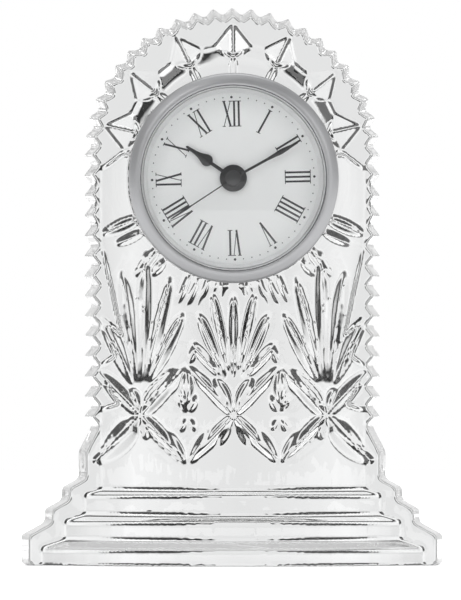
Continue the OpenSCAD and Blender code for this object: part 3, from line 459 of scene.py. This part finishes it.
def makeReflector(sizes):
    inner, outer, opening, edge = sizes["innerR"], sizes["outerR"], sizes["openingR"], sizes["edgeR"]
    back, shelf, front = sizes["backDepth"], sizes["shelfDepth"], sizes["frontDepth"]
    chamfer = sizes["chamfer"]
    footStart, footEnd = sizes["footDepths"]
    profile = (
        [(inner, back), (outer, back), (outer, shelf), (edge, shelf), (edge, front)]
        + [(opening + chamfer, front), (opening, front + chamfer)]
        + [(outer + out, depth) for out, depth in sizes["slope"]]
        + [(inner + chamfer, footStart), (inner, footEnd), (inner, back)]
    )
    piece = turnedPiece("reflectorRing", profile, sizes["steps"])
    return finishPiece(piece, "insert", "reflector_ring", finish["reflector_white"])


makeReflector(reflectorSizes)

gripSizes = {
    "coreR": 29.2, "crestR": 29.94, "webShare": 0.45, "first": 3.0, "pitch": 2.4, "beads": 4, "beadHalf": 0.8,
    "beadSteps": 8, "steps": 96,
}


def makeGripRing(sizes):
    core, crest, first, half = sizes["coreR"], sizes["crestR"], sizes["first"], sizes["beadHalf"]
    web = core + (crest - core) * sizes["webShare"]
    profile = [(core, first), (web, first)]
    for i in range(sizes["beads"]):
        middle = first + (i + 0.5) * sizes["pitch"]
        for k in range(sizes["beadSteps"] + 1):
            turn = pi * k / sizes["beadSteps"]
            profile.append((web + (crest - web) * sin(turn), middle - half * cos(turn)))
    end = first + sizes["beads"] * sizes["pitch"]
    profile += [(web, end), (core, end), (core, first)]
    piece = turnedPiece("gripRing", profile, sizes["steps"])
    return finishPiece(piece, "insert", "grip_ring", finish["grip_rubber"])


makeGripRing(gripSizes)
print("lens, reflector ring and grip ring are turned")


# Print on the dial

inkSizes = {
    "inner": 16.4, "outer": 24.6, "thick": 0.62, "thin": 0.24, "serif": 0.24,
    "height": 0.03, "dialDepth": 5.4,
    "dotRing": 25.75, "hourDot": 0.4, "minuteDot": 0.19, "hourDotPoints": 16, "minuteDotPoints": 10,
    "turn": 1.3,  # the print sits slightly anticlockwise
}
inkY = seatY + (inkSizes["dialDepth"] - inkSizes["height"]) * mm

# Strokes are (x at the top, x at the foot, weight), and serifs (left, right), from the middle of the letter
letterShapes = {
    "I": {
        "strokes": [(0, 0, "thick")],
        "topSerifs": [(-0.75, 0.75)], "footSerifs": [(-0.75, 0.75)], "width": 1.45,
    },
    "V": {
        "strokes": [(-0.9, 0.1, "thick"), (1.0, 0.1, "thin")],
        "topSerifs": [(-1.45, -0.3), (0.4, 1.45)], "footSerifs": [], "width": 2.85,
    },
    "X": {
        "strokes": [(-1.05, 1.05, "thick"), (1.05, -1.05, "thin")],
        "topSerifs": [(-1.55, -0.45), (0.55, 1.55)],
        "footSerifs": [(-1.55, -0.55), (0.45, 1.55)], "width": 3.0,
    },
}
hourNumerals = ["I", "II", "III", "IIII", "V", "VI", "VII", "VIII", "IX", "X", "XI", "XII"]


def inkStroke(start, end, width):
    # Flat bar from start to end on the upright numeral at twelve
    dx, dz = end[0] - start[0], end[1] - start[1]
    bpy.ops.mesh.primitive_plane_add(size=1, location=(0, 0, 0))
    bar = bpy.context.object
    bar.data.transform(Matrix.Diagonal((hypot(dx, dz), width, 1, 1)))
    bar.data.transform(Matrix.Rotation(atan2(dz, dx), 4, "Z"))
    bar.data.transform(Matrix.Translation(((start[0] + end[0]) / 2, (start[1] + end[1]) / 2, 0)))
    return bar


def letterBars(letter, sizes):
    shape = letterShapes[letter]
    low, high, serif = sizes["inner"], sizes["outer"], sizes["serif"]
    bars = [inkStroke((top, high), (foot, low), sizes[weight]) for top, foot, weight in shape["strokes"]]
    for height, serifs in ((high - serif / 2, shape["topSerifs"]), (low + serif / 2, shape["footSerifs"])):
        bars += [inkStroke((left, height), (right, height), serif) for left, right in serifs]
    return bars


def dialPlace(angle):
    # Turns a flat drawing, with Y up, onto the dial at a clockwise angle
    turn = Matrix.Rotation(radians(inkSizes["turn"] - angle), 4, "Z")
    stand = Matrix.Rotation(radians(90), 4, "X")
    return Matrix.Translation((0, inkY, dialZ)) @ stand @ turn @ Matrix.Scale(mm, 4)


def makeNumerals(sizes):
    bars = []
    for hour, numeral in enumerate(hourNumerals, 1):
        at = -sum(letterShapes[letter]["width"] for letter in numeral) / 2
        for letter in numeral:
            width = letterShapes[letter]["width"]
            for bar in letterBars(letter, sizes):
                bar.data.transform(Matrix.Translation((at + width / 2, 0, 0)))
                bar.data.transform(dialPlace(hour * 30))
                bars.append(bar)
            at += width
    return bars


def makeDots(sizes):
    dots = []
    for minute in range(60):
        kind = "minuteDot" if minute % 5 else "hourDot"
        corners = sizes[kind + "Points"]
        bpy.ops.mesh.primitive_circle_add(vertices=corners, radius=sizes[kind], fill_type="NGON")
        dot = bpy.context.object
        dot.data.transform(Matrix.Translation((0, sizes["dotRing"], 0)))
        dot.data.transform(dialPlace(minute * 6))
        dots.append(dot)
    return dots


def printOnDial(parts, name):
    for part in parts:
        part.matrix_world = Matrix.Identity(4)
    piece = joinAll(parts, name)
    addModifier(piece, "SOLIDIFY", thickness=inkSizes["height"] * mm, offset=-1)
    return finishPiece(piece, "insert", None, finish["dialInk"])


printOnDial(makeNumerals(inkSizes), "dialNumerals")
printOnDial(makeDots(inkSizes), "dialDots")
print("dial is printed")


# Hands, knob, hatch and back cover: copies of their nodes with softened edges

softeningLook = {"flatAngle": 1, "edgeAngle": 30, "smoothAngle": 35, "segments": 2}
softened = [  # node, name, body, slot and width of the rounded edges
    ("hour_hand", "hourHand", "hours", "hand_black", 0.09),
    ("minute_hand", "minuteHand", "minutes", "hand_black", 0.08),
    ("second_hand", "secondHand", "seconds", "hand_black", 0.06),
    ("setting_knob", "settingKnob", "motion", "knob_plastic", 0.12),
    ("battery_hatch", "batteryHatch", "hatch", "hatch_plastic", 0.12),
    ("movement_back_cover", "movementCover", "insert", "movement_plastic", 0.15),
]


def softenedCopy(node, name, body, slotName, width, look):
    piece = copyOfNode(node, name)
    pick(piece)
    bpy.ops.object.mode_set(mode="EDIT")
    bpy.ops.mesh.select_all(action="SELECT")
    bpy.ops.mesh.dissolve_limited(angle_limit=radians(look["flatAngle"]))
    bpy.ops.object.mode_set(mode="OBJECT")
    addModifier(
        piece, "BEVEL", width=width * mm, segments=look["segments"], limit_method="ANGLE",
        angle_limit=radians(look["edgeAngle"]),
    )
    smoothByAngle(piece, look["smoothAngle"])
    return finishPiece(piece, body, node, finish[slotName])


for node, name, body, slotName, width in softened:
    softenedCopy(node, name, body, slotName, width, softeningLook)

capSizes = {
    "radius": 2.6, "backDepth": 1.1, "frontDepth": 0.74, "rim": 0.3, "steps": 96,
    "backChamfer": [0.05, 0.1], "frontChamfer": [0.08, 0.1], "rimSlope": 0.06,
    "dishRim": 0.12, "dishHalf": 0.06, "dishMiddle": 0.02,  # depths of the dish behind the front
}


def makeHandCap(sizes):
    # Pressed cap with a raised rim over the end of the second hand's arbor
    r, back, front = sizes["radius"], sizes["backDepth"], sizes["frontDepth"]
    backIn, backUp = sizes["backChamfer"]
    frontIn, frontDown = sizes["frontChamfer"]
    rimR = r - sizes["rim"]
    profile = [
        (0, back), (r - backIn, back), (r, back - backUp), (r, front + frontDown), (r - frontIn, front),
        (rimR + sizes["rimSlope"], front), (rimR, front + sizes["dishRim"]),
        (r / 2, front + sizes["dishHalf"]), (0, front + sizes["dishMiddle"]),
    ]
    piece = turnedPiece("handCap", profile, sizes["steps"])
    return finishPiece(piece, "seconds", None, finish["handCap"])


makeHandCap(capSizes)
print("hands, knob, hatch and cover are softened, the hands are capped")


# Floor

floorLook = {
    "size": 6, "colour": 0.86, "rough": 0.9, "shine": 0.1,
    "reach": [0.10, 0.34], "glow": [0.22, 0.7],  # two distances from the clock and the glow there
}


def makeFloor(look):
    # Pale floor that keeps a soft shadow by the clock and runs out into white
    deselectAll()
    bpy.ops.mesh.primitive_plane_add(size=look["size"], location=(0, 0, 0))
    floor = bpy.context.object
    floor.name = "floor"
    material, tree, shader = newMaterial("paleFloor")
    shader.inputs["Base Color"].default_value = grey(look["colour"])
    shader.inputs["Roughness"].default_value = look["rough"]
    shader.inputs["Specular IOR Level"].default_value = look["shine"]
    coords = tree.nodes.new("ShaderNodeTexCoord")
    away = tree.nodes.new("ShaderNodeVectorMath")
    away.operation = "LENGTH"
    tree.links.new(coords.outputs["Object"], away.inputs[0])
    lift = rangeNode(tree, away.outputs["Value"], *look["reach"], *look["glow"], "SMOOTHSTEP")
    path = tree.nodes.new("ShaderNodeLightPath")
    seen = mathNode(tree, "MAXIMUM", path.outputs["Is Camera Ray"], path.outputs["Is Glossy Ray"])
    shader.inputs["Emission Color"].default_value = grey(1)
    tree.links.new(mathNode(tree, "MULTIPLY", seen, lift), shader.inputs["Emission Strength"])
    clear = tree.nodes.new("ShaderNodeBsdfTransparent")
    through = tree.nodes.new("ShaderNodeMixShader")  # the crystal sees the studio below the floor's level
    sources = (path.outputs["Is Transmission Ray"], shader.outputs[0], clear.outputs[0])
    for socket, source in zip(through.inputs, sources):
        tree.links.new(source, socket)
    tree.links.new(through.outputs[0], tree.nodes["Material Output"].inputs["Surface"])
    floor.data.materials.append(material)


makeFloor(floorLook)


# Studio: a white tent with dark cards, which give the cut crystal its dark edges

# Stops are (lean of a direction from straight ahead or back, grey). The round cards have stops for directions
# that fall and that rise, and there are others for level and for plumb directions
worldLook = {
    "falling": [
        (0.0, 0.80), (0.07, 0.82), (0.10, 1.0), (0.125, 0.03), (0.23, 0.02), (0.25, 0.9), (0.33, 1.0),
        (0.41, 0.75), (0.44, 0.45), (0.465, 0.03), (0.57, 0.015), (0.61, 1.0), (0.82, 0.8), (0.86, 0.02),
        (0.91, 0.02), (0.94, 0.8), (1.0, 0.9),
    ],
    "rising": [
        (0.0, 0.80), (0.07, 0.82), (0.10, 0.9), (0.125, 0.03), (0.23, 0.02), (0.255, 0.8), (0.33, 0.85),
        (0.355, 0.3), (0.38, 0.02), (0.49, 0.015), (0.53, 0.8), (0.62, 1.0), (0.72, 0.6), (0.76, 0.02),
        (0.86, 0.02), (0.90, 0.5), (0.94, 0.02), (1.0, 0.02),
    ],
    "turnOver": [-0.03, 0.03],  # rise where the falling stops give way to the rising ones
    "level": [  # the bowed faces send light this way
        (0.0, 0.80), (0.10, 0.84), (0.20, 0.95), (0.30, 0.75), (0.37, 0.70), (0.39, 0.03), (0.47, 0.02),
        (0.50, 0.45), (0.62, 0.8), (0.66, 0.02), (0.76, 0.02), (0.80, 0.9), (1.0, 0.9),
    ],
    "levelEnd": [0.025, 0.05],  # upward lean where the level stops end
    "plumb": [  # the plain faces send light this way in views from above
        (0.0, 0.80), (0.10, 0.85), (0.34, 0.85), (0.37, 0.03), (0.49, 0.02), (0.52, 0.8), (0.82, 0.8),
        (0.86, 0.02), (0.91, 0.02), (0.94, 0.8), (1.0, 0.9),
    ],
    "plumbEnd": [0.04, 0.065],  # sideways lean where the plumb stops end
    "mirror": [0.3, 0.95],  # what the glass's outside and the metal mirror, behind the camera and ahead of it
    "mirrorTurn": [-0.1, 0.1],
    "diffuse": 1.0,  # light that the room gives to plain surfaces
    "backdrop": 1.0,
}


def stopsRamp(tree, lean, stops):
    ramp = tree.nodes.new("ShaderNodeValToRGB")
    points = ramp.color_ramp.elements
    points[0].position, points[1].position = stops[0][0], stops[-1][0]
    points[0].color, points[1].color = grey(stops[0][1]), grey(stops[-1][1])
    for position, tone in stops[1:-1]:
        points.new(position).color = grey(tone)
    tree.links.new(lean, ramp.inputs[0])
    return ramp.outputs[0]


def makeWorld(look):
    world = bpy.data.worlds.new("studio")
    bpy.context.scene.world = world
    world.use_nodes = True
    tree = world.node_tree
    tree.nodes.clear()
    out = tree.nodes.new("ShaderNodeOutputWorld")
    back = tree.nodes.new("ShaderNodeBackground")
    coords = tree.nodes.new("ShaderNodeTexCoord")
    direction = tree.nodes.new("ShaderNodeSeparateXYZ")
    tree.links.new(coords.outputs["Generated"], direction.inputs[0])
    aside = mathNode(tree, "ABSOLUTE", direction.outputs["X"])
    upward = mathNode(tree, "ABSOLUTE", direction.outputs["Z"])
    across = tree.nodes.new("ShaderNodeCombineXYZ")
    tree.links.new(aside, across.inputs["X"])
    tree.links.new(upward, across.inputs["Y"])
    leaning = tree.nodes.new("ShaderNodeVectorMath")
    leaning.operation = "LENGTH"
    tree.links.new(across.outputs[0], leaning.inputs[0])
    lean = leaning.outputs["Value"]

    rise = rangeNode(tree, direction.outputs["Z"], *look["turnOver"])
    falling, rising = stopsRamp(tree, lean, look["falling"]), stopsRamp(tree, lean, look["rising"])
    tent = mixColours(tree, rise, falling, rising)
    plumbEnd = rangeNode(tree, aside, *look["plumbEnd"])
    tent = mixColours(tree, plumbEnd, stopsRamp(tree, upward, look["plumb"]), tent)
    levelEnd = rangeNode(tree, upward, *look["levelEnd"])
    tent = mixColours(tree, levelEnd, stopsRamp(tree, aside, look["level"]), tent)

    # A ray through glass counts as glossy too, so it is taken off what is only mirrored
    path = tree.nodes.new("ShaderNodeLightPath")
    mirrored = mathNode(tree, "SUBTRACT", path.outputs["Is Glossy Ray"], path.outputs["Is Transmission Ray"])
    room = rangeNode(tree, direction.outputs["Y"], *look["mirrorTurn"], *look["mirror"])
    tent = mixColours(tree, mirrored, tent, room)
    tent = mixColours(tree, path.outputs["Is Diffuse Ray"], tent, grey(look["diffuse"]))
    tent = mixColours(tree, path.outputs["Is Camera Ray"], tent, grey(look["backdrop"]))
    tree.links.new(tent, back.inputs["Color"])
    tree.links.new(back.outputs[0], out.inputs["Surface"])


makeWorld(worldLook)


# Lamps and camera

lampLooks = [
    {"name": "keyLamp", "at": (-0.5, -0.7, 0.75), "size": 0.5, "power": 3.0},
    {"name": "fillLamp", "at": (0.6, -0.6, 0.5), "size": 0.5, "power": 2.0},
    {"name": "topLamp", "at": (0, 0.1, 1.0), "size": 0.6, "power": 2.2},
]
lampAim = (0, 0, 0.09)
cameraLook = {"at": (-0.064, -4.0, 0.070), "aim": (-0.0008, 0.0, 0.0844), "lens": 756, "sensor": 36}


def placeAndAim(thing, at, aim):
    thing.location = at
    thing.rotation_euler = (Vector(aim) - Vector(at)).to_track_quat("-Z", "Y").to_euler()
    bpy.context.scene.collection.objects.link(thing)


for look in lampLooks:
    lamp = bpy.data.objects.new(look["name"], bpy.data.lights.new(look["name"], "AREA"))
    lamp.data.energy = look["power"]
    lamp.data.size = look["size"]
    placeAndAim(lamp, look["at"], lampAim)

camera = bpy.data.objects.new("camera", bpy.data.cameras.new("camera"))
camera.data.lens = cameraLook["lens"]
camera.data.sensor_width = cameraLook["sensor"]
placeAndAim(camera, cameraLook["at"], cameraLook["aim"])
bpy.context.scene.camera = camera
bpy.context.scene.view_settings.view_transform = "Standard"
print("stage, lamps and camera are set")
